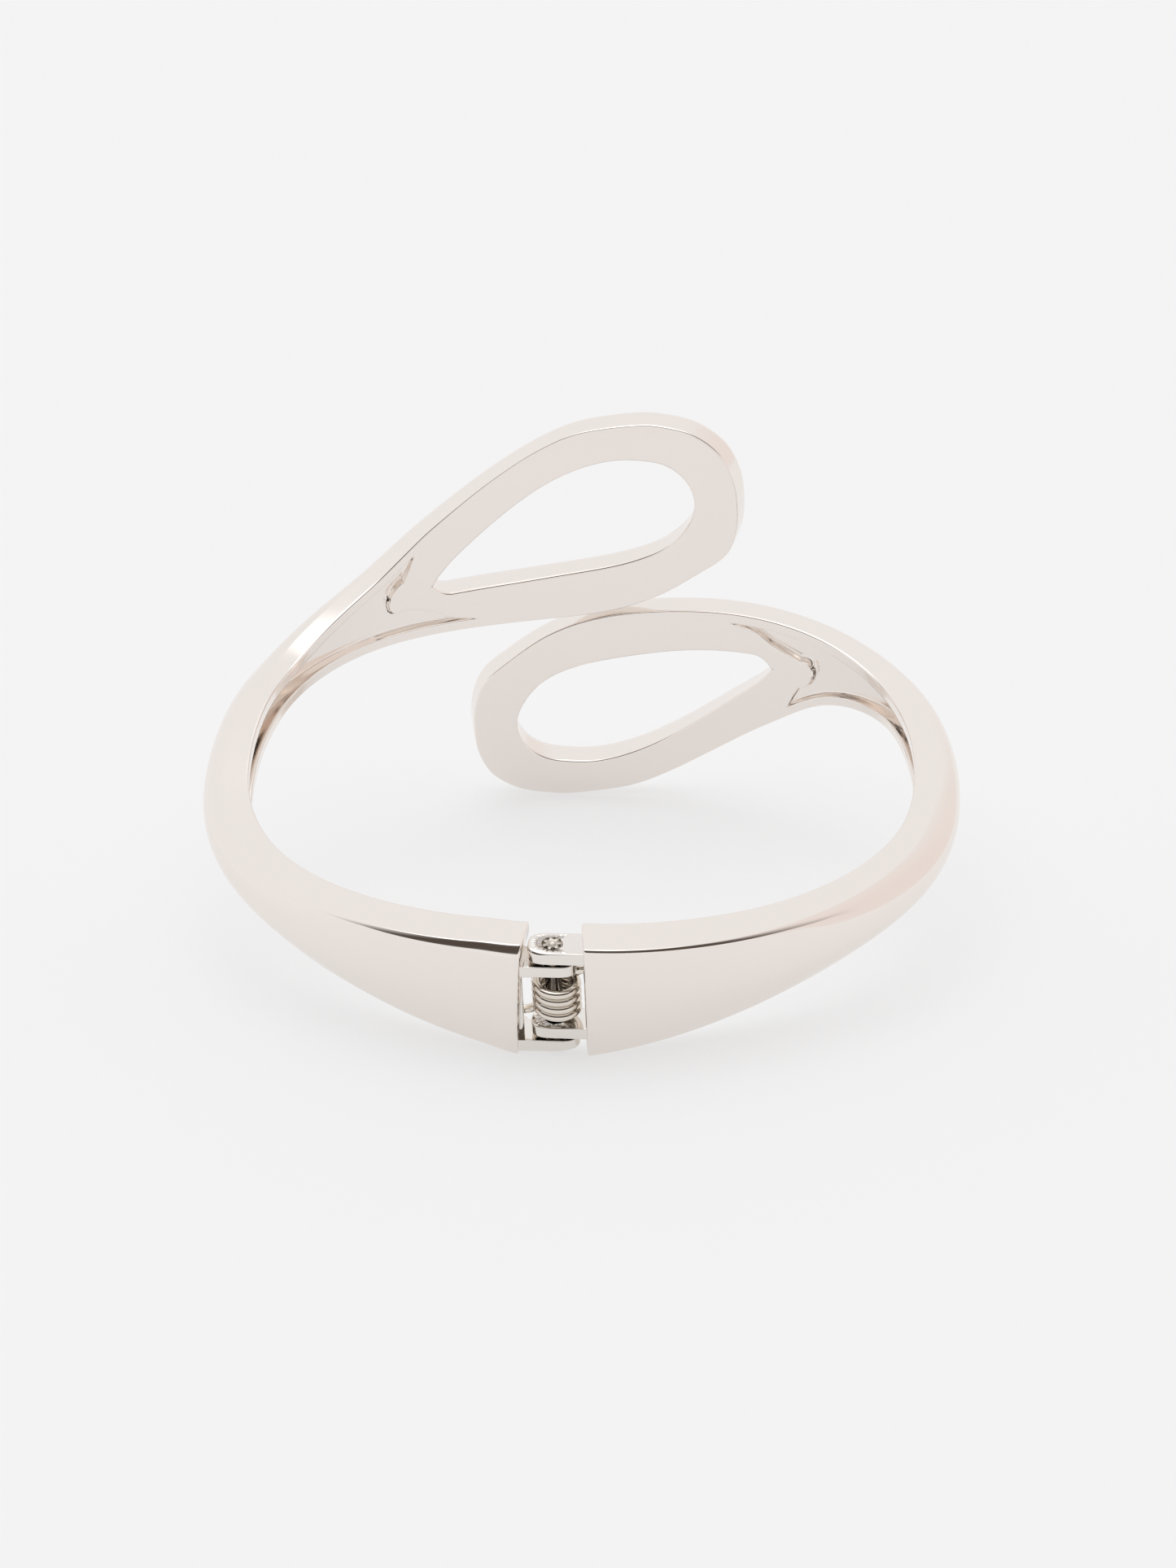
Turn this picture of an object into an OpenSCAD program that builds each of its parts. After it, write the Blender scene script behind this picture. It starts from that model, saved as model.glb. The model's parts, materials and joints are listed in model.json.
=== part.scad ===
// Hinged bypass bangle: two equal cast arms meet at a sprung hinge and end in open teardrop loops.
// The arms are one casting used twice, the second turned half a turn about the front-to-back line.

/* [Wrist opening] */
// Half of the clear width inside the bangle, side to side
inner_half_w = 29; // [24:0.5:35]
// Half of the clear depth inside the bangle, hinge to loops
inner_half_d = 25.6; // [21:0.5:31]
// Squareness of the oval, where 2 is an ellipse
oval_power = 2.18; // [2:0.02:2.5]
// How much squarer the loop side is than the hinge side
oval_swing = 0.4; // [0:0.05:0.5]

/* [Arm] */
// Height of the arm at the hinge
end_h = 11.4; // [9:0.2:14]
// Height of the arm at its narrow waist
waist_h = 4; // [3.4:0.1:5]
// Distance along the arm from its end to the waist
waist_run = 40; // [32:1:46]
// How far the waist sits below mid height
waist_drop = 1.35; // [0.6:0.05:2]
// Radial thickness at the crisp edges beside the hinge
edge_t = 3.2; // [2.8:0.1:4]
// Radial thickness at the crown of the arm
crown_t = 3.7; // [3.4:0.1:4.6]
// Radial thickness at the rounded edges of the waist and loop
rim_t = 1.8; // [1.2:0.1:2.4]
// Thickness of the metal left by the channel in the back
shell_t = 1.1; // [0.8:0.05:1.4]
// Width of the lip on each side of the channel
lip_w = 1; // [0.7:0.05:1.3]

/* [Loop] */
// How far the round end of the loop passes the middle of the front
loop_reach = 12.45; // [10:0.25:15]
// Height from mid height down to the lowest point of the loop
loop_drop = 20.7; // [18:0.25:23]
// Outer radius of the round end
loop_r = 8.15; // [7:0.1:9]
// How much fuller than a circle the round end is at its corners
loop_full = 0.07; // [0:0.01:0.12]
// Width of the band around the round end
band_w = 3.8; // [3:0.1:4.4]
// Width of the band along the upper branch
top_band_w = 4.6; // [3.6:0.1:5.2]
// Distance from the middle of the front back to the pointed tip of the opening
tip_run = 15.5; // [13:0.5:18]
// Height of the upper branch beside the tip
branch_z = 1.1; // [0.6:0.1:1.6]
// Half of the gap between the two loops where they pass
pass_gap = 0.27; // [0.2:0.01:0.6]
// Radial thickness at the crown of the band
band_t = 3.2; // [2.6:0.1:3.8]
// Distance from the tip of the opening back to the end of the channel
web_run = 4.4; // [3:0.2:7]

/* [Hinge] */
// Distance between the two arm ends
hinge_gap = 4.6; // [4.4:0.1:5.4]
// Diameter of the hinge pin
pin_d = 1.4; // [1.1:0.05:1.6]
// Diameter over the knurled ends of the pin
knurl_d = 1.62; // [1.4:0.02:1.8]
// Length of each knurled end
knurl_run = 0.7; // [0.4:0.05:1]
// Running clearance between the pin and a bore that turns on it
pin_play = 0.04; // [0.02:0.01:0.08]
// Thickness of the outer ears
ear_t = 1.15; // [0.9:0.05:1.3]
// Thickness of the inner ears
inner_ear_t = 1.1; // [0.9:0.05:1.2]
// Height between an outer ear and the inner ear beside it
ear_gap = 0.3; // [0.3:0.05:0.6]
// Width of the ears, inside to outside of the bangle
ear_w = 2.8; // [2.4:0.05:3]
// Clearance from the tip of an ear to the other arm
ear_tip_gap = 0.3; // [0.3:0.05:0.6]
// How far the hinge bracket runs into the arm
bracket_run = 2.2; // [1.8:0.1:3]
// Thickness of the arm wall that is left over the bracket
bracket_cover = 0.45; // [0.4:0.05:0.6]
// Thickness of the plate that joins the two ears of a bracket
plate_t = 0.5; // [0.4:0.05:0.6]

/* [Spring] */
// Diameter of the spring wire
wire_d = 0.68; // [0.5:0.02:0.72]
// Outer diameter of the coil
coil_d = 4.1; // [3.7:0.05:4.2]
// Gap between one turn of wire and the next
turn_gap = 0.03; // [0.02:0.01:0.1]
// Clearance between each leg and the inner ear beside it
leg_gap = 0.13; // [0.1:0.01:0.3]
// Reach of each straight leg from the pin axis
leg_reach = 4; // [3.4:0.1:4.4]

/* [Resting pose] */
// Angle by which the bangle leans back when it lies on a table
rest_tilt = 15.5; // [0:0.5:25]

/* [Hidden] */
chrome = [0.84, 0.82, 0.80];
steel = [0.72, 0.70, 0.67];

function mix(a, b, t) = a + (b - a) * t;
function ease(x) = let (t = max(0, min(1, x))) t * t * (3 - 2 * t);
function ramp(a, b, from, to, s) = mix(a, b, ease((s - from) / (to - from)));
function running(p) = [for (i = 0, t = 0; i < len(p);
    t = t + (i + 1 < len(p) ? norm(p[i + 1] - p[i]) : 0), i = i + 1) t];
function pick(t, column, key) = lookup(key, [for (r = t) [r[0], r[column]]]);

// The oval of the inner wall, walked from the hinge round the right side and past the front.
function oval(a) = let (n = oval_power + oval_swing * sin(a), c = cos(a), s = sin(a))
    [inner_half_w * sign(c) * pow(abs(c), 2 / n), inner_half_d * sign(s) * pow(abs(s), 2 / n)];
oval_step = 2;
oval_pts = [for (a = [-90:oval_step:150]) oval(a)];
oval_run = running(oval_pts);
oval_table = [for (i = [0:len(oval_pts) - 1]) [oval_run[i], oval_pts[i].x, oval_pts[i].y]];
half_run = oval_run[180 / oval_step];
slope_step = 0.8;
function oval_at(s) = [pick(oval_table, 1, s), pick(oval_table, 2, s)];

// A point of the arm: s along the inner wall from the hinge, z up, d outward from the wall.
function place(s, z, d) = let (t = oval_at(s + slope_step) - oval_at(s - slope_step), p = oval_at(s))
    [p.x + d * t.y / norm(t), p.y - d * t.x / norm(t), z];

// Heights of the arm's two edges between the hinge and the root of the loop.
stem_start = hinge_gap / 2;
stem_end = half_run - 30;
function stem_half(s) = let (x = max(0, min(1, (s - stem_start) / waist_run)))
    waist_h / 2 + (end_h - waist_h) / 2 * pow(1 - pow(x, 1.15), 2.1);
function stem_mid(s) = -waist_drop * ease((s - 25) / (stem_end - 25));

// The outline of the arm on the unrolled wall, from the top of the hinge end round to its bottom.
end_c = [half_run + loop_reach - loop_r, loop_r - loop_drop];
stem_s = [for (i = [0:8]) mix(stem_start, stem_end, i / 8)];
top_side = [for (s = stem_s) [s, stem_mid(s) + stem_half(s)]];
low_side = [for (i = [8:-1:0]) let (s = stem_s[i]) [s, stem_mid(s) - stem_half(s)]];
loop_top = [[half_run - tip_run, branch_z], [half_run - 7, branch_z - 0.35], [half_run, -pass_gap],
    [half_run + 5, -pass_gap - 2]];
loop_round = [for (a = [55:-19:-97]) end_c + loop_r * (1 + loop_full * pow(sin(2 * a), 2)) * [cos(a), sin(a)]];
loop_low = [[half_run - 1.6, 0.95 - loop_drop], [half_run - 5.3, 2.75 - loop_drop], [half_run - 9.5, 5.7 - loop_drop],
    [half_run - 15, 10 - loop_drop], [half_run - 21.5, 14.7 - loop_drop]];
outline_knots = concat(top_side, loop_top, loop_round, loop_low, low_side);

// The outline of the opening, from its pointed tip along the top and back along the bottom.
tip = [half_run - tip_run, branch_z - 5.3];
hole_r = loop_r - band_w;
hole_top = [[tip.x + 1.1, branch_z - top_band_w + 0.25], [tip.x + 2.9, branch_z - top_band_w + 0.35],
    [half_run - 7, branch_z - top_band_w - 0.25], [half_run, -pass_gap - top_band_w - 0.3],
    [half_run + 3.8, -pass_gap - top_band_w - 1.6], [half_run + 6.2, -pass_gap - top_band_w - 3.2]];
hole_round = [for (a = [30:-30:-90]) end_c + [-0.2, 0] + hole_r * [cos(a), sin(a)]];
hole_low = [[half_run + 0.8, band_w + 0.15 - loop_drop], [half_run - 3, 5.4 - loop_drop],
    [half_run - 7, 8.1 - loop_drop], [half_run - 12.5, 13 - loop_drop], [tip.x + 0.9, 15.2 - loop_drop]];
hole_knots = concat([tip], hole_top, hole_round, hole_low, [tip]);

// A smooth curve through the knots.
function knot(k, i) = k[max(0, min(len(k) - 1, i))];
function spline(k, i, t) = let (a = knot(k, i - 1), b = knot(k, i), c = knot(k, i + 1), d = knot(k, i + 2))
    0.5 * (2 * b + (c - a) * t + (2 * a - 5 * b + 4 * c - d) * t * t + (3 * b - a - 3 * c + d) * t * t * t);
span_parts = 6;
function curve(k) = concat([for (i = [0:len(k) - 2]) for (j = [0:span_parts - 1]) spline(k, i, j / span_parts)],
    [k[len(k) - 1]]);
function even(p, n) = let (run = running(p), total = run[len(run) - 1],
    table = [for (i = [0:len(p) - 1]) [run[i], p[i].x, p[i].y]])
    [for (i = [0:n]) [pick(table, 1, total * i / n), pick(table, 2, total * i / n)]];
rim = curve(outline_knots);
turn = len(rim) / 2;
rim_top = [for (i = [0:floor(turn)]) if (rim[i].x <= half_run) rim[i]];
rim_low = [for (i = [len(rim) - 1:-1:ceil(turn)]) if (rim[i].x <= half_run - 4) rim[i]];
rim_loop = concat([[tip.x, lookup(tip.x, rim_top)]],
    [for (i = [0:len(rim) - 1]) if (rim[i].x > tip.x + 0.2) rim[i]], [[tip.x, lookup(tip.x, rim_low)]]);

// Stations along the strip that runs up one edge, round the loop and back down the other edge.
loop_parts = 56;
channel_end = tip.x - web_run;
round_run = 3.2;
stem_stations = concat([for (i = [0:16]) mix(stem_start, channel_end - round_run, i / 16)],
    [for (i = [1:5]) channel_end - round_run * cos(90 * i / 5)],
    [for (i = [0:4]) mix(channel_end + 0.3, tip.x, i / 4)]);
stem_count = len(stem_stations);
loop_outer = even(rim_loop, loop_parts);
loop_inner = even(curve(hole_knots), loop_parts);
function middle(s) = ramp((lookup(s, rim_top) + lookup(s, rim_low)) / 2, tip.y, tip.x - 6, tip.x, s);
strip = concat(
    [for (s = stem_stations) [[s, lookup(s, rim_top)], [s, middle(s)], s]],
    [for (i = [1:loop_parts - 1]) [loop_outer[i], loop_inner[i], tip.x]],
    [for (i = [stem_count - 1:-1:0]) let (s = stem_stations[i]) [[s, lookup(s, rim_low)], [s, middle(s)], s]]);
strip_count = len(strip);

// Heights of the front face and of the back over the inner wall, at w from the edge to the middle.
// The lips of the channel close in on each other over its last few millimetres, which rounds its end.
dome_power = 2.2;
function half_dome(w) = pow(1 - pow(1 - w, dome_power), 1 / dome_power);
function full_dome(w) = pow(max(0, 1 - pow(abs(2 * w - 1), dome_power)), 1 / dome_power);
function edge_at(s) = ramp(edge_t, rim_t, 6, waist_run, s);
function crown_at(s) = ramp(crown_t, band_t, stem_end - 5, tip.x, s);
function front_at(s, w) = let (open = ease((s - tip.x + 8) / 8), e = edge_at(s))
    e + (crown_at(s) - e) * mix(half_dome(w), full_dome(w), open);
function round_at(s) = let (x = max(0, min(1, (s - channel_end) / round_run + 1))) 1 - sqrt(1 - x * x);
function lip_at(s, half) = mix(min(0.6, lip_w / half), 0.9, s > channel_end ? 0 : round_at(s));
function steps_at(s, half) = let (l = lip_at(s, half), open = ease((s - channel_end) / web_run),
    stem = [0, 0.12 * l, 0.45 * l, l, l + 0.03, mix(l, 1, 0.45), mix(l, 1, 0.8), 1],
    band = [0, 0.03, 0.13, 0.3, 0.5, 0.72, 0.92, 1])
    [for (i = [0:7]) mix(stem[i], band[i], open)];
function back_at(s, i) = s < channel_end + 0.1 && i > 3 ? crown_at(s) - shell_t : 0;

// One cross-section of the strip: out over the front face, then back along the inner side.
side_pts = 8;
function section(row) = let (a = row[0], b = row[1], s = row[2], w = steps_at(s, norm(a - b)),
    at = [for (i = [0:side_pts - 1]) mix(a, b, w[i])])
    concat([for (i = [0:side_pts - 1]) place(at[i].x, at[i].y, front_at(s, w[i]))],
        [for (i = [side_pts - 1:-1:0]) place(at[i].x, at[i].y, back_at(s, i))]);
ring = 2 * side_pts;
arm_pts = [for (row = strip) each section(row)];
function shared(i, j) = i >= strip_count - stem_count && (j == side_pts - 1 || j == side_pts);
function id(i, j) = (shared(i, j) ? strip_count - 1 - i : i) * ring + j % ring;
function quad(a, b, c, d) = [[a, b, c], [a, c, d]];
function in_loop(i) = i >= stem_count - 1 && i < strip_count - stem_count;
skin = [for (i = [0:strip_count - 2]) for (j = [0:ring - 1]) if (j != side_pts - 1 || in_loop(i))
    each quad(id(i, j), id(i + 1, j), id(i + 1, j + 1), id(i, j + 1))];
last = strip_count - 1;
end_cap = [for (j = [0:side_pts - 2]) each concat(
    quad(id(0, j), id(0, j + 1), id(0, ring - 2 - j), id(0, ring - 1 - j)),
    quad(id(last, j + 1), id(last, j), id(last, ring - 1 - j), id(last, ring - 2 - j)))];

// The hinge: the pin stands at mid thickness, and every ear takes its place from these values.
pin_y = -inner_half_d - edge_t / 2;
ear_top = end_h / 2 - bracket_cover;
inner_ear_top = ear_top - ear_t - ear_gap;
inner_ear_low = inner_ear_top - inner_ear_t;
ear_reach = hinge_gap / 2 - ear_tip_gap;
pocket_floor = pin_y - edge_t / 2 + shell_t - 0.2;
pin_proud = 0.05;

// The path of the spring wire about the pin axis, from the tip of its low leg up to the other tip.
// The coil has as many full turns as fit between the two legs, which run beside the inner ears.
coil_r = (coil_d - wire_d) / 2;
coil_start = 155;
leg_drop = inner_ear_low - leg_gap - wire_d / 2;
part_turn = (2 * coil_start - 180) / 360;
coil_turns = floor(2 * (leg_drop - wire_d) / (wire_d + turn_gap) - part_turn);
coil_sweep = 360 * (coil_turns + part_turn);
coil_rise = (wire_d + turn_gap) * coil_sweep / 360;
leg_in = 0.45;
low_leg = [[-leg_reach, leg_in, -leg_drop], [-leg_reach / 2 - 0.6, leg_in, -leg_drop],
    [-coil_r - 0.45, leg_in, -leg_drop + 0.1], [-coil_r - 0.08, leg_in, -coil_rise / 2 - 0.2]];
coil_parts = 64;
coil_path = [for (i = [0:coil_parts]) let (a = coil_start - coil_sweep * i / coil_parts)
    [coil_r * cos(a), coil_r * sin(a), coil_rise * (i / coil_parts - 0.5)]];
high_leg = [for (i = [3:-1:0]) [-low_leg[i].x, low_leg[i].y, -low_leg[i].z]];
wire_path = concat(low_leg, coil_path, high_leg);

// The bangle lies on its lower loop and its hinge ends, and stands centred over the origin.
function lie(p) = [p.x, p.y * cos(rest_tilt) - p.z * sin(rest_tilt), p.y * sin(rest_tilt) + p.z * cos(rest_tilt)];
lain = [for (p = arm_pts) each [lie(p), lie([-p.x, p.y, -p.z])]];
low_z = min([for (p = lain) p.z]);
mid_y = (min([for (p = lain) p.y]) + max([for (p = lain) p.y])) / 2;

module resting() {
    translate([0, -mid_y, -low_z]) rotate([rest_tilt, 0, 0]) children();
}

// Half a turn about the front-to-back line puts the second of two equal pieces in its place.
module turned() {
    rotate([0, 180, 0]) children();
}

module arm() {
    difference() {
        polyhedron(arm_pts, concat(skin, end_cap));
        translate([0, pocket_floor, -ear_top])
            cube([stem_start + bracket_run, inner_half_d / 2, 2 * ear_top]);
    }
}

module ear(top, thick) {
    translate([0, pin_y, top - thick]) linear_extrude(thick) {
        intersection() {
            translate([-ear_reach, -ear_w / 2]) square([ear_reach + stem_start, ear_w]);
            circle(r = ear_reach, $fn = 48);
        }
        translate([0, -ear_w / 2]) square([stem_start, ear_w]);
    }
    translate([stem_start, pocket_floor, top - thick])
        cube([bracket_run, pin_y + ear_w / 2 - pocket_floor, thick]);
}

module bracket() {
    difference() {
        union() {
            ear(ear_top, ear_t);
            ear(inner_ear_t - inner_ear_top, inner_ear_t);
            translate([stem_start, pocket_floor, -ear_top]) cube([bracket_run, plate_t, 2 * ear_top]);
        }
        translate([0, pin_y, -end_h]) cylinder(d = pin_d + 2 * pin_play, h = 2 * end_h, $fn = 48);
    }
}

module wire(path, d, sides) {
    n = len(path);
    rings = [for (i = [0:n - 1]) let (t = path[min(n - 1, i + 1)] - path[max(0, i - 1)],
        across = cross(t, [0, 0, 1]), u = across / norm(across), v = cross(u, t / norm(t)))
        each [for (k = [0:sides - 1]) let (a = 360 * k / sides) path[i] + d / 2 * (cos(a) * u + sin(a) * v)]];
    walls = [for (i = [0:n - 2]) for (k = [0:sides - 1]) let (m = (k + 1) % sides)
        each quad(i * sides + k, i * sides + m, (i + 1) * sides + m, (i + 1) * sides + k)];
    ends = [[for (k = [sides - 1:-1:0]) k], [for (k = [0:sides - 1]) (n - 1) * sides + k]];
    polyhedron(rings, concat(walls, ends));
}

module right_arm() {
    color(chrome) resting() arm();
}
module left_arm() {
    color(chrome) resting() turned() arm();
}
module right_hinge_bracket() {
    color(chrome) resting() bracket();
}
module left_hinge_bracket() {
    color(chrome) resting() turned() bracket();
}
module hinge_pin() {
    color(steel) resting() translate([0, pin_y, 0]) {
        translate([0, 0, -ear_top - pin_proud]) cylinder(d = pin_d, h = 2 * (ear_top + pin_proud), $fn = 48);
        translate([0, 0, ear_top + pin_proud - knurl_run]) cylinder(d = knurl_d, h = knurl_run, $fn = 48);
    }
}
module torsion_spring() {
    color(steel) resting() translate([0, pin_y, 0]) wire(wire_path, wire_d, 8);
}

left_arm();
right_arm();
left_hinge_bracket();
right_hinge_bracket();
hinge_pin();
torsion_spring();
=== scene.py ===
import json
import bpy
import numpy as np
from mathutils import Matrix, Vector

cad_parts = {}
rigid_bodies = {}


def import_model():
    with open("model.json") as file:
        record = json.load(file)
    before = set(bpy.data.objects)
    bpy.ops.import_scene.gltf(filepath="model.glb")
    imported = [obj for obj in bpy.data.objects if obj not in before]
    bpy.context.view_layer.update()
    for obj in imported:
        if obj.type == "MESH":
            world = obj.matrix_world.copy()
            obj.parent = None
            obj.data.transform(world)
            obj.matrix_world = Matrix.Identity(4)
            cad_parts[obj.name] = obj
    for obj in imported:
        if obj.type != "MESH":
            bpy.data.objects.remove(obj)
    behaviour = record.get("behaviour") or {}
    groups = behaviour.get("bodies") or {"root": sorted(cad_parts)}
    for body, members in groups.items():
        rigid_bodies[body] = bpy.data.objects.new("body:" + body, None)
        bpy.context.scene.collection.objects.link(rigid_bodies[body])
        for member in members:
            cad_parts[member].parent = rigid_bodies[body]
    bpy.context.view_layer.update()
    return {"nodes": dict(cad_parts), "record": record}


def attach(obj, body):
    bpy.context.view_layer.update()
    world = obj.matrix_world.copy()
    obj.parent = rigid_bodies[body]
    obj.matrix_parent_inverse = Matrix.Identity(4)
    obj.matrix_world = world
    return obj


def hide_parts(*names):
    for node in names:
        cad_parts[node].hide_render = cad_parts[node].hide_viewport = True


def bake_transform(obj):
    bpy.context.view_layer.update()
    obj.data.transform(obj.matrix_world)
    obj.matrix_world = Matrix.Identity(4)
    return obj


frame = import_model()
mm = 0.001
hinge = frame["record"]["behaviour"]["joints"][0]
leftBody, rightBody = hinge["parent"], hinge["child"]
print("frame loaded:", ", ".join(frame["nodes"]))


# Small helpers.
def smooth(x):
    t = np.clip(x, 0.0, 1.0)
    return t * t * (3 - 2 * t)


def mix(a, b, t):
    return a + (b - a) * t


def ramp(a, b, start, end, s):
    return mix(a, b, smooth((s - start) / (end - start)))


def hexColour(code):  # sRGB hex to linear
    v = np.array([int(code[i:i + 2], 16) for i in (1, 3, 5)]) / 255
    return (*np.where(v <= 0.04045, v / 12.92, ((v + 0.055) / 1.055) ** 2.4), 1.0)


def walked(p):  # distance walked along a line of points
    return np.r_[0, np.cumsum(np.linalg.norm(np.diff(p, axis=0), axis=1))]


def curveThrough(knots, parts):  # Catmull-Rom curve, ends doubled
    k = np.vstack([knots[:1], knots, knots[-1:]])
    a, b, c, d = (k[i:len(k) - 3 + i, None] for i in range(4))
    t = (np.arange(parts) / parts)[None, :, None]
    p = 2 * b + (c - a) * t + (2 * a - 5 * b + 4 * c - d) * t ** 2 + (3 * b - a - 3 * c + d) * t ** 3
    return np.vstack([(0.5 * p).reshape(-1, knots.shape[1]), knots[-1:]])


def evenly(p, t):  # points at the shares t of the line's length
    run = walked(p)
    return np.stack([np.interp(t * run[-1], run, p[:, i]) for i in range(p.shape[1])], axis=1)


# Where the bangle lies.
bangle = {
    "halfWidth": 29.0,  # clear half width inside, mm
    "halfDepth": 25.6,  # clear half depth, hinge to loops
    "squareness": 2.18,  # 2 is an ellipse
    "swing": 0.4,  # squarer on the loop side by this much
    "edgeThick": 3.2,  # radial thickness at the crisp edges by the hinge
    "hingeGap": 4.6,
}
pinY = -bangle["halfDepth"] - bangle["edgeThick"] / 2
tilt = np.arctan2(hinge["axis"][1], -hinge["axis"][2])  # how far the bangle leans back on the table
leanBack = np.array([[1, 0, 0], [0, np.cos(tilt), -np.sin(tilt)], [0, np.sin(tilt), np.cos(tilt)]])


def lie(p):  # from the bangle's own frame in mm, pin upright, to the table in metres
    return (p - [0, pinY, 0]) @ leanBack.T * mm + hinge["pos_m"]


def addMesh(name, verts, faces, material, body=None, covers=None):
    used, index = np.unique(np.concatenate([np.ravel(f) for f in faces]), return_inverse=True)
    mesh = bpy.data.meshes.new(name)
    sizes = np.concatenate([np.full(len(f), f.shape[1]) for f in faces])
    starts = np.r_[0, np.cumsum(sizes)[:-1]]
    mesh.vertices.add(len(used))
    mesh.vertices.foreach_set("co", verts[used].astype(np.float32).ravel())
    mesh.loops.add(int(sizes.sum()))
    mesh.loops.foreach_set("vertex_index", index.astype(np.int32))
    mesh.polygons.add(len(sizes))
    mesh.polygons.foreach_set("loop_start", starts.astype(np.int32))
    mesh.polygons.foreach_set("use_smooth", np.ones(len(sizes), bool))
    mesh.update(calc_edges=True)
    mesh.validate()
    mesh.materials.append(material)
    obj = bpy.data.objects.new(name, mesh)
    bpy.context.collection.objects.link(obj)
    if body:
        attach(obj, body)
    if covers:
        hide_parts(covers)
    return obj


def loft(rings, ringed=False):
    # Skin over a stack of closed rings, walked anticlockwise and upward; a ringed stack closes on itself.
    m, n = rings.shape[:2]
    i, k = np.meshgrid(np.arange(m if ringed else m - 1), np.arange(n), indexing="ij")
    j, l = (i + 1) % m, (k + 1) % n
    skin = np.stack([i * n + k, i * n + l, j * n + l, j * n + k], axis=-1).reshape(-1, 4)
    caps = [] if ringed else [np.arange(n)[::-1][None], ((m - 1) * n + np.arange(n))[None]]
    return rings.reshape(-1, 3), [skin] + caps


def joined(parts):  # several lofts as one mesh
    verts, faces, base = [], [], 0
    for v, f in parts:
        verts.append(v)
        faces += [q + base for q in f]
        base += len(v)
    return np.vstack(verts), faces


# Materials.
def node(tree, kind, settings=None, inputs=None, links=None):
    made = tree.nodes.new(kind)
    for key, value in (settings or {}).items():
        setattr(made, key, value)
    for key, value in (inputs or {}).items():
        made.inputs[key].default_value = value
    for key, source in (links or {}).items():
        tree.links.new(source, made.inputs[key])
    return made


def polishedMetal(name, colour, rough, smear, ripple, grit):
    # Polished metal: broad hand-polish smears in the gloss, a slow ripple and fine buffing grit. The smears'
    # size is in mm, and the ripple and the grit are a size and a depth in mm. The grit is drawn much
    # coarser than the real one, so that it shows.
    material = bpy.data.materials.new(name)
    material.use_nodes = True
    tree = material.node_tree
    shader = tree.nodes["Principled BSDF"]
    shader.inputs["Base Color"].default_value = hexColour(colour)
    shader.inputs["Metallic"].default_value = 1.0
    place = node(tree, "ShaderNodeTexCoord").outputs["Object"]
    smears = node(tree, "ShaderNodeTexNoise", inputs={"Scale": 1 / (smear * mm), "Detail": 3.0},
                  links={"Vector": place})
    gloss = node(tree, "ShaderNodeMapRange", links={"Value": smears.outputs["Fac"]},
                 inputs={"From Min": 0.3, "From Max": 0.7, "To Min": rough[0], "To Max": rough[1]})
    tree.links.new(gloss.outputs["Result"], shader.inputs["Roughness"])
    waves = node(tree, "ShaderNodeTexNoise", inputs={"Scale": 1 / (ripple[0] * mm), "Detail": 1.0},
                 links={"Vector": place})
    slow = node(tree, "ShaderNodeBump", inputs={"Strength": 1.0, "Distance": ripple[1] * mm},
                links={"Height": waves.outputs["Fac"]})
    grains = node(tree, "ShaderNodeTexNoise", inputs={"Scale": 1 / (grit[0] * mm), "Detail": 2.0},
                  links={"Vector": place})
    fine = node(tree, "ShaderNodeBump", inputs={"Strength": 1.0, "Distance": grit[1] * mm},
                links={"Height": grains.outputs["Fac"], "Normal": slow.outputs["Normal"]})
    tree.links.new(fine.outputs["Normal"], shader.inputs["Normal"])
    return material


# Rhodium plate over polished zinc casting: bright, a little warm, with broad soft smears.
rhodiumPlate = polishedMetal("polished rhodium plate", "#F2EBE5", rough=(0.07, 0.15), smear=9.0,
                             ripple=(5.0, 0.012), grit=(0.35, 0.0006))
# Stamped and plated bracket steel: the same plate over a rougher edge.
platedSteel = polishedMetal("plated stamped steel", "#EDE8E2", rough=(0.06, 0.14), smear=3.0,
                            ripple=(1.2, 0.008), grit=(0.2, 0.0008))
# Drawn spring wire: bright but greyer, with fine die marks.
springWire = polishedMetal("drawn spring steel wire", "#E4DDD3", rough=(0.08, 0.16), smear=1.5,
                           ripple=(0.8, 0.004), grit=(0.12, 0.0006))
# Ground pin with a staked, knurled end: the least glossy. Its colour, the greyest, is darkened as painted
# shade for the gaps round the pin.
pinSteelDarkenedForShade = polishedMetal("ground pin steel with painted shade", "#C4BDB3", rough=(0.10, 0.20), smear=1.5,
                         ripple=(0.7, 0.006), grit=(0.12, 0.0012))
print("materials made")


# The oval the inner wall follows.
turns = np.radians(np.linspace(-90, 150, 6001))
power = bangle["squareness"] + bangle["swing"] * np.sin(turns)
# Superellipse: each half axis times the sign of the cosine or sine, times its size to the power 2/n.
c, s = np.cos(turns), np.sin(turns)
oval = np.stack([bangle["halfWidth"] * np.sign(c) * np.abs(c) ** (2 / power),
                 bangle["halfDepth"] * np.sign(s) * np.abs(s) ** (2 / power)], axis=1)
ovalRun = walked(oval)
halfRun = float(np.interp(np.pi / 2, turns, ovalRun))  # from the hinge to the middle of the front


def onOval(s):
    return np.stack([np.interp(s, ovalRun, oval[:, 0]), np.interp(s, ovalRun, oval[:, 1])], axis=-1)


def wallPoint(s, z, d):  # s along the inner wall from the hinge, z up, d outward
    step = 0.8  # the wall's direction is read over this much to each side
    t = onOval(s + step) - onOval(s - step)
    t /= np.linalg.norm(t, axis=-1, keepdims=True)
    p = onOval(s)
    return np.stack([p[..., 0] + d * t[..., 1], p[..., 1] - d * t[..., 0], z], axis=-1)


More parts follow.
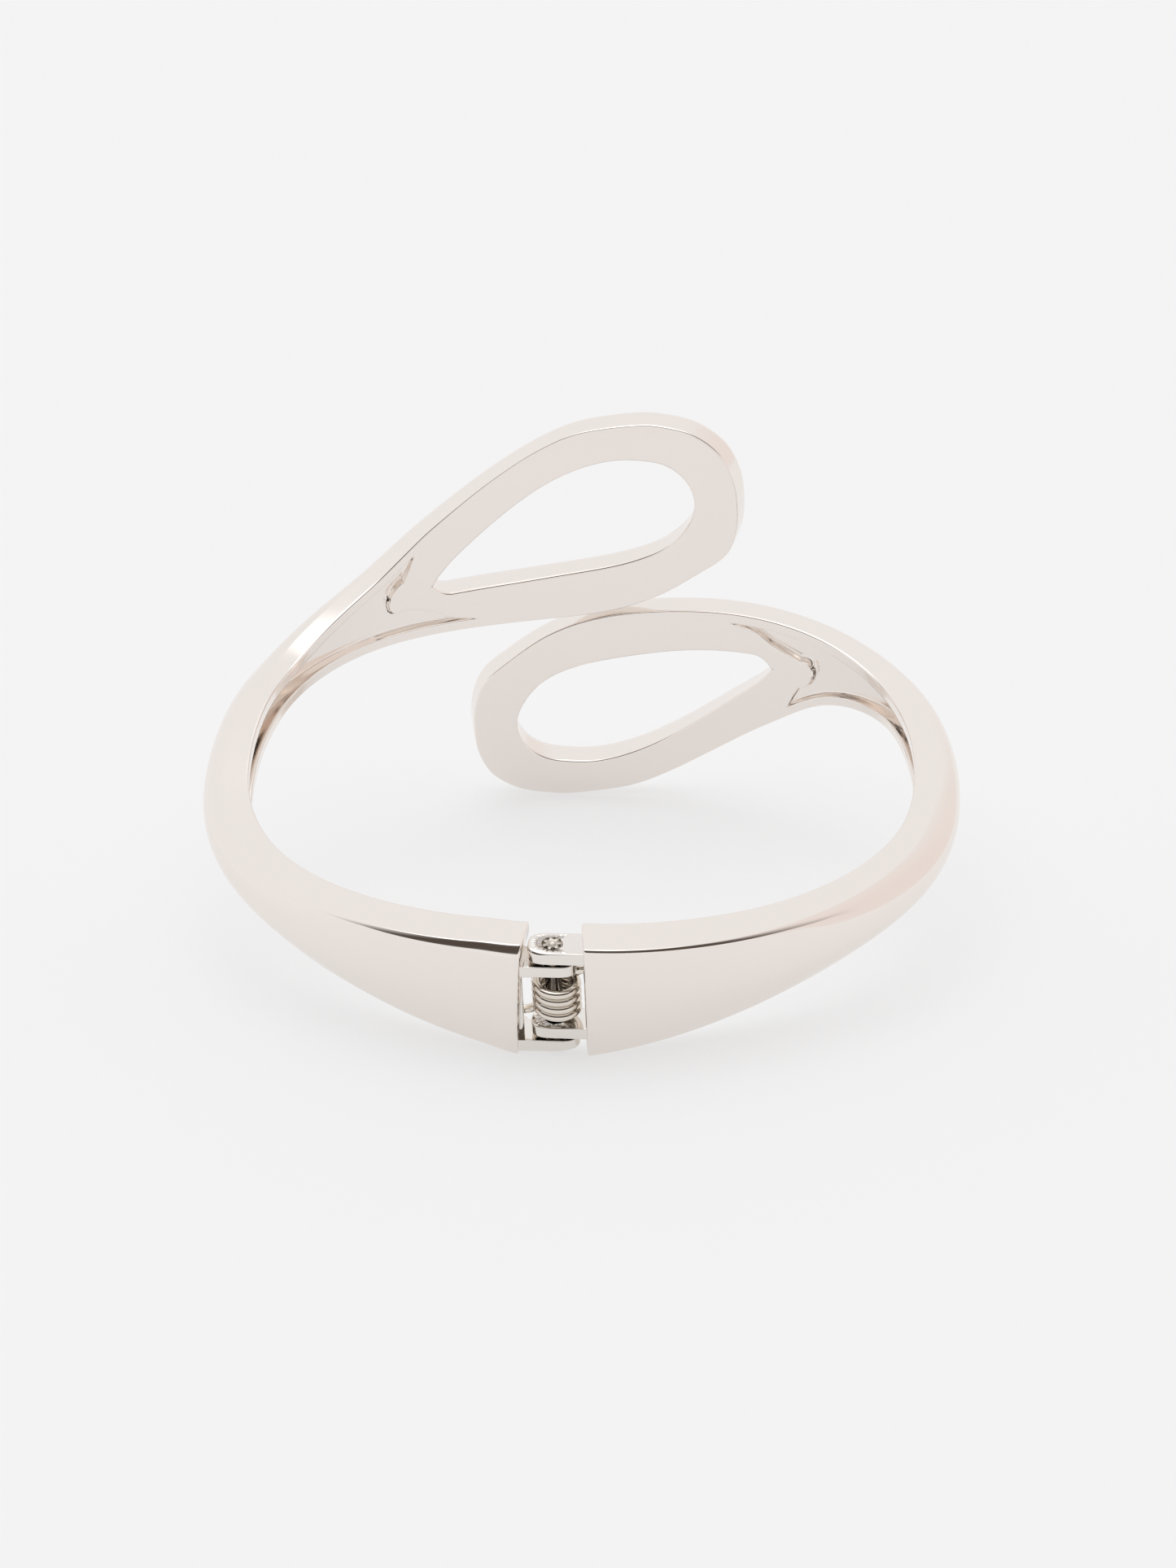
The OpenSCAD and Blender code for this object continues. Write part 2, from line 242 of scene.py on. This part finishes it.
# The arm. All sizes are in mm, and places along it are from the hinge.
arm = {
    "endHeight": 11.4, "waistHeight": 4.0, "waistRun": 40.0, "waistDrop": 1.35,
    "crownThick": 3.7, "rimThick": 1.8, "bandThick": 3.2, "domePower": 2.2,
    "shell": 1.1,  # metal left by the channel
    "thinnest": 0.3,  # and by anything else
    "lip": 1.0, "lipSoft": 0.16,  # width of the channel's lips and how softly they are broken
    "wallRun": 0.22, "webRun": 0.17,  # how far the channel's wall and the side of its web slope
    "innerLip": 0.5, "innerLipFades": (30, 58),  # how far the lips stand inside the clear oval by the hinge
    "endSoft": 0.12,  # how softly the arm's end is broken
    "topCrisp": (38, 46), "lowCrisp": (18, 34),  # where the top and the low edge stop being crisp
    "edgeRoll": 0.24, "topRollMore": 0.16, "topRollGrows": (12, 26),  # width of the broken edges
    "slopeFrom": 46.0, "slopeTo": 13.0,  # slopes of a broken edge, degrees above level
    "rollWidth": 0.97, "rollRun": 17.0,  # the rolled edge of the left arm's end
    "channelShort": 4.2,  # solid web left before the opening's tip
    "noseRadius": 1.5,  # round nose of the solid web that parts the channel into two prongs
    "upperProng": 77.0, "lowerProng": 70.2,  # where the prongs run out
    "deepEnd": 0.6,  # depth of the channel beside the nose
    "loopReach": 12.45, "loopDrop": 20.7, "loopRadius": 8.15, "loopFull": 0.07,
    "bandWidth": 3.8, "topBandWidth": 4.6, "tipRun": 15.5, "branchHeight": 1.1, "passGap": 0.27,
}
stemStart = bangle["hingeGap"] / 2
stemEnd = halfRun - 30


def stemHalf(s):  # half height, falling from the hinge end to the waist
    x = np.clip((s - stemStart) / arm["waistRun"], 0, 1)
    return arm["waistHeight"] / 2 + (arm["endHeight"] - arm["waistHeight"]) / 2 * (1 - x ** 1.15) ** 2.1


def stemMid(s):  # mid height, easing down to the waist's drop
    return -arm["waistDrop"] * smooth((s - 25) / (stemEnd - 25))


def armOutlines():
    # Outlines of the arm and of its opening on the unrolled wall: (distance from the hinge, height).
    drop, radius = arm["loopDrop"], arm["loopRadius"]
    centre = np.array([halfRun + arm["loopReach"] - radius, radius - drop])
    s = np.linspace(stemStart, stemEnd, 9)
    upper = np.stack([s, stemMid(s) + stemHalf(s)], axis=1)
    lower = np.stack([s, stemMid(s) - stemHalf(s)], axis=1)[::-1]
    high, gap = arm["branchHeight"], arm["passGap"]
    over = [[halfRun - arm["tipRun"], high], [halfRun - 7, high - 0.35],
            [halfRun, -gap], [halfRun + 5, -gap - 2]]
    a = np.radians(np.arange(55, -98, -19))[:, None]
    end = centre + radius * (1 + arm["loopFull"] * np.sin(2 * a) ** 2) * np.hstack([np.cos(a), np.sin(a)])
    under = [[halfRun - 1.6, 0.95 - drop], [halfRun - 5.3, 2.75 - drop], [halfRun - 9.5, 5.7 - drop],
             [halfRun - 15, 10 - drop], [halfRun - 21.5, 14.7 - drop]]
    rim = curveThrough(np.vstack([upper, over, end, under, lower]), 24)
    tip = np.array([halfRun - arm["tipRun"], high - 5.3])
    band, r = arm["topBandWidth"], radius - arm["bandWidth"]
    top = [[tip[0] + 1.1, high - band + 0.25], [tip[0] + 2.9, high - band + 0.35],
           [halfRun - 7, high - band - 0.25], [halfRun, -gap - band - 0.3],
           [halfRun + 3.8, -gap - band - 1.6], [halfRun + 6.2, -gap - band - 3.2]]
    a = np.radians([30, 0, -30, -60, -90])[:, None]
    bend = centre + [-0.2, 0] + r * np.hstack([np.cos(a), np.sin(a)])
    back = [[halfRun + 0.8, arm["bandWidth"] + 0.15 - drop], [halfRun - 3, 5.4 - drop],
            [halfRun - 7, 8.1 - drop], [halfRun - 12.5, 13 - drop], [tip[0] + 0.9, 15.2 - drop]]
    hole = curveThrough(np.vstack([[tip], top, bend, back, [tip]]), 24)
    return rim, hole, tip


def armRows():
    # The arm as one strip: up its top edge, round the loop and back down its low edge.
    rim, hole, tip = armOutlines()
    turn = int(np.argmax(rim[:, 0]))
    upper, lower = rim[:turn + 1], rim[turn:][::-1]
    soft = arm["endSoft"]
    nose = tip[0] - arm["channelShort"]
    # Rows along the stem, closest where the channel meets the nose of its web.
    s = np.r_[stemStart, stemStart + soft, stemStart + 2 * soft, np.linspace(stemStart + 0.5, 58, 110),
              np.linspace(58.4, nose - 0.7, 24), np.linspace(nose - 0.62, nose + 2.1, 40),
              np.linspace(nose + 2.3, tip[0], 10)]
    top = np.interp(s, upper[:, 0], upper[:, 1])
    low = np.interp(s, lower[:, 0], lower[:, 1])
    mid = mix((top + low) / 2, tip[1], smooth((s - tip[0] + 6) / 6))
    count = 290  # rows round the loop
    share = np.linspace(0, 1, count + 1)[1:-1]
    start = [tip[0], top[-1]]
    stop = [tip[0], low[-1]]
    loop = np.vstack([[start], rim[(rim[:, 0] > tip[0] + 0.05)], [stop]])
    outer = np.vstack([np.stack([s, top], 1), evenly(loop, share), np.stack([s, low], 1)[::-1]])
    inner = np.vstack([np.stack([s, mid], 1), evenly(hole, share), np.stack([s, mid], 1)[::-1]])
    along = np.r_[s, np.full(count - 1, tip[0]), s[::-1]]
    isTop = np.r_[np.ones(len(s)), 1 - smooth((share - 0.3) / 0.3), np.zeros(len(s))]
    return outer, inner, along, isTop, len(s), tip


def channelWeb(s, width, top, channelEnd):
    # Half width of the solid web between the prongs: a round nose, then straight, then widening until the
    # prong beside it closes. Also how far that closing has come, from 0 to 1.
    nose = arm["noseRadius"]
    prongEnd = mix(arm["lowerProng"], arm["upperProng"], top)
    past = np.clip((s - channelEnd) / nose, 0, 1)
    half = nose * np.sqrt(1 - (1 - past) ** 2)
    closing = np.clip((s - channelEnd - nose) / (prongEnd - channelEnd - nose), 0, 1)
    widened = mix(half, width - arm["lip"] + 0.2, closing ** mix(1.0, 0.8, top))
    return np.maximum(half, widened), closing


def domedFront(along, share, u, crisp, roll, crown, tip):
    # By the hinge a low arc with a crisp edge, then a dome, which parts into a dome over each branch of the
    # loop. The arc is 1 - (1 - share)^2, and the domes are superellipses of the dome's power.
    n = arm["domePower"]
    half = mix((1 - (1 - share) ** n) ** (1 / n), 1 - (1 - share) ** 2, crisp)
    full = np.maximum(0, 1 - np.abs(2 * share - 1) ** n) ** (1 / n)
    valley = smooth(2 * (1 - share))
    split = smooth((along - tip[0] + 9) / 9)
    full = np.where(share > 0.5, mix(valley, full, split ** 3), full)
    edge = ramp(bangle["edgeThick"], arm["rimThick"], 4, arm["waistRun"] + 4, along)
    front = edge + (crown - edge) * mix(half, full, split)
    # The crisp edge is broken by part of a circle, from steeply to slightly sloped.
    sinFrom, sinTo = np.sin(np.radians([arm["slopeFrom"], arm["slopeTo"]]))
    r = roll / (sinFrom - sinTo)
    return front - r * np.sqrt(1 - sinTo ** 2) + np.sqrt(r ** 2 - (r * sinFrom - np.clip(u, 0, roll)) ** 2)


def armShape(rolled):
    # The arm's section at each row, from its outer edge to the middle: a domed front and a channelled back.
    outer, inner, along, isTop, stemCount, tip = armRows()
    rows = len(outer)
    width = np.linalg.norm(inner - outer, axis=1)[:, None]
    along, top = along[:, None], isTop[:, None]
    inset = np.zeros((rows, 1))
    inset[[0, -1]] = arm["endSoft"]
    outer = outer + (inner - outer) / width * inset
    width = width - inset
    channelEnd = tip[0] - arm["channelShort"]
    # Width of the broken edge: narrow, but rolled and wide on the edge of the left arm's end that lies on top.
    crisp = mix(ramp(1, 0, *arm["lowCrisp"], along), ramp(1, 0, *arm["topCrisp"], along), top)
    roll = arm["edgeRoll"] + arm["topRollMore"] * top * ramp(0, 1, *arm["topRollGrows"], along)
    if rolled:
        wide = arm["rollWidth"] * np.clip(1 - (along - stemStart) / arm["rollRun"], 0.02, 1)
        roll = np.where(top < 0.5, np.maximum(roll, wide), roll)
    roll = roll * crisp + 0.004
    # Places of the points from the outer edge to the middle, closest at the edge, the lip and the web's side.
    lip = np.minimum(arm["lip"], 0.6 * width)
    sRow = mix(outer[:, :1], inner[:, :1], 0.4)
    side = np.clip(width - channelWeb(sRow, width, top, channelEnd)[0], lip + 0.02, 0.93 * width)
    edgeRun = mix(0.5 * lip, roll, crisp)
    wallEnd = np.minimum(lip + arm["wallRun"], (lip + side) / 2)
    webStart = np.maximum(side - arm["webRun"], (lip + side) / 2)
    u = np.hstack([edgeRun * (np.arange(9) / 9) ** 1.6,
                   mix(edgeRun, lip, np.arange(4) / 4),
                   mix(lip, wallEnd, np.arange(8) / 8),
                   mix(wallEnd, webStart, np.arange(6) / 6),
                   mix(webStart, side, np.arange(10) / 10),
                   mix(side, width, 1 - (1 - np.linspace(0, 1, 11)) ** 1.7)])
    share = u / width
    at = outer[:, None] + (inner - outer)[:, None] * share[..., None]
    s, z = at[..., 0], at[..., 1]
    crown = ramp(arm["crownThick"], arm["bandThick"], stemEnd - 5, tip[0], along)
    front = domedFront(along, share, u, crisp, roll, crown, tip) - inset
    # Back: the channel is as deep as its distance inside its own outline allows, over steep walls.
    nose = channelEnd + arm["noseRadius"]
    web, closing = channelWeb(s, width, top, channelEnd)
    beyond = np.where(s < nose, np.hypot(nose - s, width - u) - arm["noseRadius"], (width - u) - web)
    deep = ramp(crown - arm["shell"], arm["deepEnd"], arm["waistRun"], channelEnd - 2, s)
    deep = deep * (1 - 0.5 * smooth(closing))
    back = deep * smooth((u - lip) / arm["wallRun"]) * smooth(beyond / arm["webRun"])
    inLoop = np.zeros(rows, bool)
    inLoop[stemCount - 1:rows - stemCount + 1] = True
    fromHole = np.where(inLoop[:, None], (1 - share) * width, np.inf)
    for gap in (u, fromHole):  # the lips' edges are broken by a quarter circle
        x = np.clip(1 - gap / arm["lipSoft"], 0, 1)
        back = np.maximum(back, arm["lipSoft"] * (1 - np.sqrt(1 - x ** 2)))
    back = back + inset - arm["innerLip"] * ramp(1, 0, *arm["innerLipFades"], s)
    return armSkin(s, z, front, np.minimum(back, front - arm["thinnest"]), inLoop, stemCount)


def armSkin(s, z, front, back, inLoop, stemCount):
    # Each ring: out over the front, down the inner wall, back over the inside and up the outer wall. Along
    # the stem the two halves of the strip share their middle points, and there is no inner wall.
    rows, across = s.shape
    steps = np.array([[0.05, 0.5, 0.95]])
    innerWall = mix(front[:, -1:], back[:, -1:], steps)
    outerWall = mix(back[:, :1], front[:, :1], steps)
    one = np.ones_like(steps)
    sAll = np.hstack([s, s[:, -1:] * one, s[:, ::-1], s[:, :1] * one])
    zAll = np.hstack([z, z[:, -1:] * one, z[:, ::-1], z[:, :1] * one])
    dAll = np.hstack([front, innerWall, back[:, ::-1], outerWall])
    verts = wallPoint(sAll, zAll, dAll)
    k, ring = steps.size, sAll.shape[1]
    i, j = np.meshgrid(np.arange(rows), np.arange(ring), indexing="ij")
    seam = (i >= rows - stemCount) & (j >= across - 1) & (j <= across + k)
    index = np.where(seam, rows - 1 - i, i) * ring + j
    nextJ = np.roll(index, -1, axis=1)
    quads = np.stack([index[:-1], index[1:], nextJ[1:], nextJ[:-1]], axis=-1)
    wall = (j[:-1] >= across - 1) & (j[:-1] <= across + k - 1)
    quads = quads[~(wall & ~(inLoop[:-1] & inLoop[1:])[:, None])]
    backOf = ring - k - 1 - np.arange(across)  # ring place of the back point behind each front point
    caps = []
    for row, flip in ((0, False), (rows - 1, True)):
        f, g = index[row, :across], index[row, backOf]
        strip = np.stack([f[1:-1], f[2:], g[2:], g[1:-1]], axis=1)
        first = np.r_[f[0], f[1], g[1], g[0], index[row, ring - k:]][None]
        caps += [strip[:, ::-1], first[:, ::-1]] if flip else [strip, first]
    return verts.reshape(-1, 3), [quads] + caps


def turned(p):  # half a turn about the front-to-back line
    return p * [-1, 1, -1]


# The left arm's end is cut a little askew and the arm rises a little behind it.
leftEnd = {
    "skew": 0.057, "shift": 0.12, "skewFades": (2, 11),
    "rise": 0.3, "riseGrows": (2.3, 6.3), "riseFades": (14, 28),
}
armVerts, armFaces = armShape(False)
rightArm = addMesh("rightArm", lie(armVerts), armFaces, rhodiumPlate,
                   rightBody, "right_arm")
rolledVerts, armFaces = armShape(True)
leftVerts = turned(rolledVerts)
reach = np.where(leftVerts[:, 1] < 0, -leftVerts[:, 0], np.inf)  # from the middle of the hinge
skewed = leftEnd["skew"] * leftVerts[:, 2] - leftEnd["shift"]
leftVerts[:, 0] += skewed * ramp(1, 0, *leftEnd["skewFades"], reach)
leftVerts[:, 2] += (leftEnd["rise"] * ramp(0, 1, *leftEnd["riseGrows"], reach)
                    * ramp(1, 0, *leftEnd["riseFades"], reach))
addMesh("leftArm", lie(leftVerts), armFaces, rhodiumPlate, leftBody, "left_arm")
print("arms made:", len(rightArm.data.polygons), "faces each")

# The hinge brackets.
bracket = {
    "outerTop": 5.25, "outerThick": 1.15,  # outer ear, heights from mid height
    "innerTop": 3.8, "innerThick": 1.1,
    "reach": 2.0, "width": 2.8, "bore": 0.74, "root": 1.0, "tipPower": 3,
    "soft": 0.14, "lowSoft": 0.10,  # broken edges of an ear's upper and lower face
    "facet": 0.34, "facetAt": 222.0, "facetSpread": 26.0,  # larger facet at the tip's outer corner, degrees
    "sinkWider": 0.13, "sinkDeep": 0.3,  # counterbore
    "plateThick": 0.5, "plateRun": 2.2,
}


def ear(low, high, facet):
    # Radius at each angle about the pin: a superellipse tip, straight sides and a root inside the arm.
    count = 192
    a = 2 * np.pi * (np.arange(count) + 0.5) / count
    c, s = np.cos(a), np.sin(a)
    halfW, n = bracket["width"] / 2, bracket["tipPower"]
    tip = (np.abs(c / bracket["reach"]) ** n + np.abs(s / halfW) ** n) ** (-1 / n)
    tiny = 1e-6  # keeps the divisions finite
    root = np.minimum((stemStart + bracket["root"]) / np.maximum(c, tiny), halfW / np.maximum(np.abs(s), tiny))
    r = np.where(c < 0, tip, root)
    turn = (np.degrees(a) - bracket["facetAt"] + 180) % 360 - 180
    soft = bracket["soft"] + facet * np.exp(-(turn / bracket["facetSpread"]) ** 2)
    small, bore = bracket["lowSoft"], bracket["bore"]
    sink, sinkFloor = bore + bracket["sinkWider"], high - bracket["sinkDeep"]
    quarter = np.radians(np.linspace(0, 90, 6))
    # (radius, height) up the outside and down the bore
    rings = [(r - small * (1 - np.cos(t)), low + small * (1 - np.sin(t))) for t in quarter[::-1]]
    rings += [(r, low + small + 0.08), (r, high - soft - 0.05)]
    rings += [(r - soft * (1 - np.cos(t)), high - soft * (1 - np.sin(t))) for t in quarter]
    rings += [(mix(r - soft, bore, 0.08), high), (mix(r - soft, bore, 0.9), high), (sink, high),
              (sink, sinkFloor), (bore, sinkFloor - 0.02), (bore, low + 0.05), (bore + 0.05, low),
              (mix(r - small, bore, 0.9), low), (mix(r - small, bore, 0.08), low)]
    stack = np.array([np.stack([q * c, pinY + q * s, h + 0 * a], axis=1) for q, h in rings])
    return loft(stack, ringed=True)


def roundedBlock(low, high, soft):
    # A block with broken edges: a superellipse outline carried up the block, drawn in at both ends.
    low, high = np.array(low), np.array(high)
    a = 2 * np.pi * (np.arange(64) + 0.5) / 64
    half = (high - low)[:2] / 2
    power = 10  # nearly square
    size = (np.abs(np.cos(a) / half[0]) ** power + np.abs(np.sin(a) / half[1]) ** power) ** (-1 / power)
    t = np.radians(np.linspace(0, 90, 5))
    shrink = np.r_[soft * (1 - np.sin(t)), soft * (1 - np.cos(t))]
    level = np.r_[low[2] + soft * (1 - np.cos(t)), high[2] - soft * (1 - np.sin(t))]
    r = size[None] - shrink[:, None]
    mid = (low + high)[:2] / 2
    rings = np.stack([mid[0] + r * np.cos(a), mid[1] + r * np.sin(a), level[:, None] + 0 * r], axis=-1)
    return loft(rings)


def bracketShape():
    # The outer and the inner ear, and the plate behind them on the channel's floor.
    floorY = pinY - bangle["edgeThick"] / 2 + arm["shell"] - 0.2
    top, inner = bracket["outerTop"], bracket["innerTop"]
    outerEar = ear(top - bracket["outerThick"], top, bracket["facet"])
    innerEar = ear(-inner, bracket["innerThick"] - inner, 0.0)
    plate = roundedBlock([stemStart + 0.25, floorY, -top],
                         [stemStart + bracket["plateRun"], floorY + bracket["plateThick"], top], 0.06)
    return joined([outerEar, innerEar, plate])


earVerts, earFaces = bracketShape()
addMesh("rightHingeBracket", lie(earVerts), earFaces, platedSteel,
        rightBody, "right_hinge_bracket")
addMesh("leftHingeBracket", lie(turned(earVerts)), earFaces, platedSteel,
        leftBody, "left_hinge_bracket")
print("hinge brackets made")

# The pin.
pin = {"radius": 0.70, "knurlRadius": 0.80, "knurlRun": 0.7, "proud": 0.05, "teeth": 7, "starDeep": 0.28}


def pinShape():
    # Radius and height round the pin, from its foot to its staked end, which dips in the middle. The star's
    # radius swings with a cosine that repeats once for each tooth.
    count = 128
    a = 2 * np.pi * np.arange(count) / count
    wave = smooth(0.5 + 0.8 * np.cos(pin["teeth"] * a))
    top = bracket["outerTop"] + pin["proud"]
    r, k = pin["radius"], pin["knurlRadius"]
    star = k * (0.62 + 0.38 * wave)
    foot = top - pin["starDeep"]
    rings = [(0.80 * r, -top), (0.95 * r, 0.03 - top), (r, 0.1 - top),
             (r, top - pin["knurlRun"] - 0.05), (k, top - pin["knurlRun"]), (k, foot - 0.03),
             (star, foot), (star, top - 0.03), (star * 0.93, top + 0.03),
             (0.52 * k, top + 0.04), (0.40 * k, top - 0.06), (0.24 * k, top - 0.13), (0.08 * k, top - 0.14)]
    stack = np.array([np.stack([q * np.cos(a), pinY + q * np.sin(a), h + 0 * a], axis=1) for q, h in rings])
    return loft(stack)


pinVerts, pinFaces = pinShape()
addMesh("hingePin", lie(pinVerts), pinFaces, pinSteelDarkenedForShade, rightBody, "hinge_pin")

# The spring.
spring = {
    "wire": 0.76, "coil": 4.14, "turns": 4, "gap": 0.03,
    "start": 155.0,  # angle about the pin where the coil begins
    "leg": 4.0, "legIn": 0.45, "legDrop": 2.23,
    "slack": 0.2,  # the loose coil leans to one side of the pin
}


def springShape():
    # A helix round the pin with a straight leg at each end, walked by a round wire.
    r = (spring["coil"] - spring["wire"]) / 2
    sweep = 360 * spring["turns"] + 2 * spring["start"] - 180
    rise = (spring["wire"] + spring["gap"]) * sweep / 360
    drop = spring["legDrop"]
    t = np.linspace(0, 1, 97)
    a = np.radians(spring["start"] - sweep * t)
    coil = np.stack([r * np.cos(a) + spring["slack"], r * np.sin(a), rise * (t - 0.5)], axis=1)
    legIn, leg = spring["legIn"], spring["leg"]
    low = np.array([[-leg, legIn, -drop], [-leg / 2 - 0.6, legIn, -drop], [-r - 0.45, legIn, -drop + 0.1],
                    [-r - 0.08, legIn, -rise / 2 - 0.2]])
    path = curveThrough(np.vstack([low, coil, (low * [-1, 1, -1])[::-1]]), 5)
    path = evenly(path, np.linspace(0, 1, 700))
    way = np.gradient(path, axis=0)
    way /= np.linalg.norm(way, axis=1, keepdims=True)
    across = np.cross(way, [0, 0, 1.0])
    across /= np.linalg.norm(across, axis=1, keepdims=True)
    up = np.cross(across, way)
    b = 2 * np.pi * np.arange(20) / 20
    thick = spring["wire"] / 2 * np.ones(len(path))
    thick[[0, -1]] *= 0.8
    hoop = np.cos(b)[:, None] * across[:, None] + np.sin(b)[:, None] * up[:, None]
    rings = path[:, None] + thick[:, None, None] * hoop
    return loft((rings + [0, pinY, 0])[:, ::-1])


springVerts, springFaces = springShape()
coilSpring = addMesh("torsionSpring", lie(springVerts), springFaces, springWire,
                     covers="torsion_spring")
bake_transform(coilSpring)
print("pin and spring made")

# Floor, light and camera.
studio = {
    "floor": "#969696", "floorGlow": (0.59, 0.59, 0.592), "floorHalf": 3.0,  # lit from below as well as above
    "wall": "#F6F6F7", "room": "#544C46", "tint": "#F2EAE7",  # pale surround, dim room in front, warm side
    "strength": 1.01,
    "roomFront": (-0.15, -0.55),  # where the room fades in, towards the viewer
    "roomLow": 8.0, "roomHigh": 50.0,  # height of the dim room above the horizon, degrees
    "lowFade": 0.06, "highFade": 0.14,  # how softly its lower and upper edge fade
    "tintSide": (0.1, 0.9),  # where the warm wall fades in, towards the right
    "keySize": 1.25, "keyPower": 3.6, "keyAt": (-0.15, -0.1, 1.25),
}
camera = {
    "at": (34.13, -369.88, 166.97),  # mm
    "azimuth": 5.209, "elevation": 22.541, "roll": -0.647, "lens": 106.11,
}

paper = bpy.data.materials.new("matte paper sweep")
paper.use_nodes = True
paperShader = paper.node_tree.nodes["Principled BSDF"]
paperShader.inputs["Base Color"].default_value = hexColour(studio["floor"])
paperShader.inputs["Roughness"].default_value = 0.9
paperShader.inputs["Emission Color"].default_value = (*studio["floorGlow"], 1)
paperShader.inputs["Emission Strength"].default_value = 1.0
h = studio["floorHalf"]
corners = np.array([[-h, -h, 0], [h, -h, 0], [h, h, 0], [-h, h, 0]])
floor = addMesh("floor", corners, [np.array([[0, 1, 2, 3]])], paper)

# The surround is pale all round, with a dim room above the horizon on the viewer's side and a warm wall to
# the right. Each of its edges is a soft step along one axis.
world = bpy.data.worlds.new("soft studio")
world.use_nodes = True
bpy.context.scene.world = world
air = world.node_tree
sight = node(air, "ShaderNodeTexCoord").outputs["Generated"]
towards = node(air, "ShaderNodeSeparateXYZ", links={"Vector": sight})
low, high = np.sin(np.radians([studio["roomLow"], studio["roomHigh"]]))
edges = [("Y", *studio["roomFront"]), ("Z", low, low + studio["lowFade"]),
         ("Z", high, high - studio["highFade"]), ("X", *studio["tintSide"])]
front, aboveLow, belowHigh, side = [
    node(air, "ShaderNodeMapRange", {"interpolation_type": "SMOOTHSTEP"}, {"From Min": start, "From Max": end},
         {"Value": towards.outputs[axis]}).outputs[0] for axis, start, end in edges]
part = node(air, "ShaderNodeMath", {"operation": "MULTIPLY"}, links={0: front, 1: aboveLow})
dim = node(air, "ShaderNodeMath", {"operation": "MULTIPLY"}, links={0: part.outputs[0], 1: belowHigh})
warm = node(air, "ShaderNodeMix", {"data_type": "RGBA"},
            {6: hexColour(studio["wall"]), 7: hexColour(studio["tint"])}, {0: side})
shade = node(air, "ShaderNodeMix", {"data_type": "RGBA"}, {7: hexColour(studio["room"])},
             {0: dim.outputs[0], 6: warm.outputs[2]})
sky = air.nodes["Background"]
sky.inputs["Strength"].default_value = studio["strength"]
air.links.new(shade.outputs[2], sky.inputs["Color"])

lamp = bpy.data.lights.new("softbox", "AREA")
lamp.shape = "SQUARE"
lamp.size = studio["keySize"]
lamp.energy = studio["keyPower"]
softbox = bpy.data.objects.new("softbox", lamp)
softbox.location = studio["keyAt"]
softbox.rotation_euler = Vector(studio["keyAt"]).to_track_quat("Z", "Y").to_euler()
bpy.context.collection.objects.link(softbox)

az, el, roll = np.radians([camera["azimuth"], camera["elevation"], camera["roll"]])
back = np.array([np.sin(az) * np.cos(el), -np.cos(az) * np.cos(el), np.sin(el)])
level = np.array([np.cos(az), np.sin(az), 0])
rise = np.cross(back, level)
right = level * np.cos(roll) + rise * np.sin(roll)
lens = bpy.data.cameras.new("camera")
lens.lens = camera["lens"]
lens.sensor_width = 36
lens.clip_start = 0.01
eye = bpy.data.objects.new("camera", lens)
bpy.context.collection.objects.link(eye)
placed = np.eye(4)
placed[:3] = np.stack([right, np.cross(back, right), back, np.array(camera["at"]) * mm], axis=1)
eye.matrix_world = Matrix(placed)
bpy.context.scene.camera = eye
bpy.context.scene.view_settings.view_transform = "Standard"
print("studio made")
